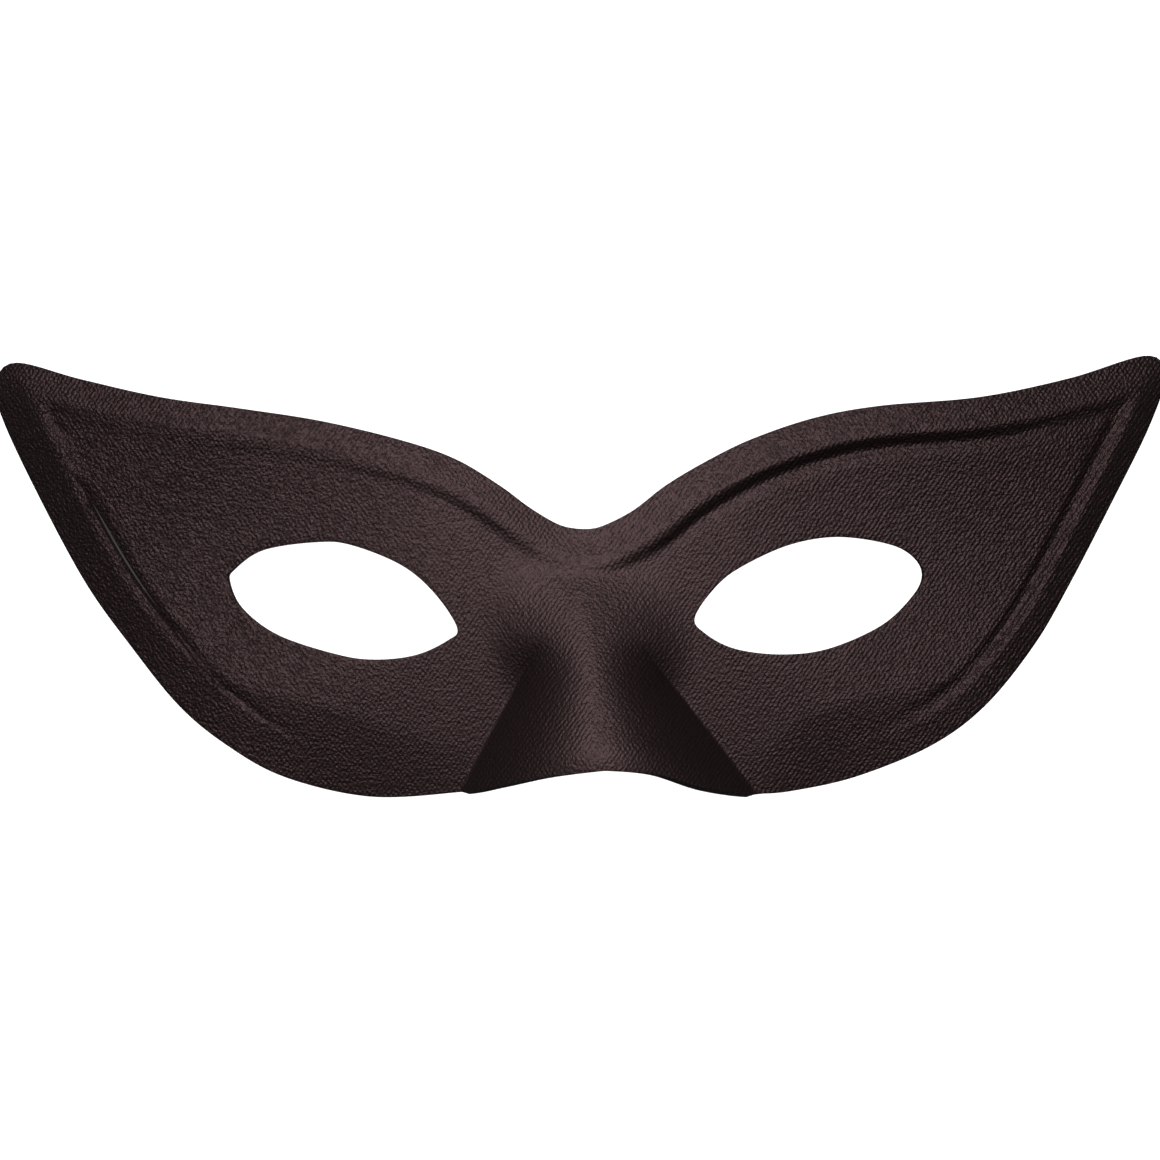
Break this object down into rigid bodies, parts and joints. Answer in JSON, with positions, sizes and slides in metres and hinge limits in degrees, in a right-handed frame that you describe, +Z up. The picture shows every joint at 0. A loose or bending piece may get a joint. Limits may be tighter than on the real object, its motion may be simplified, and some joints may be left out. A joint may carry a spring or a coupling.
{
  "type": "costume eye mask",
  "caption": "Moulded half mask with a black satin face, winged tips, pointed oval eye holes, a raised nose and a raised rim, lying face up.",
  "frame": {"origin": "on the floor under the middle of the mask's box, the mask lying face up as it rests by itself", "axes": "+X across the face to the viewer's right, +Y along the floor towards the brow, +Z up, out of the face"},
  "size_m": [0.2056, 0.0826, 0.0256],
  "materials": {
    "black_satin": "fine woven black satin, warm cast, soft sheen, bonded to a moulded sheet"
  },
  "bodies": {
    "root": {"mask_shell": "black_satin"}
  },
  "joints": []
}
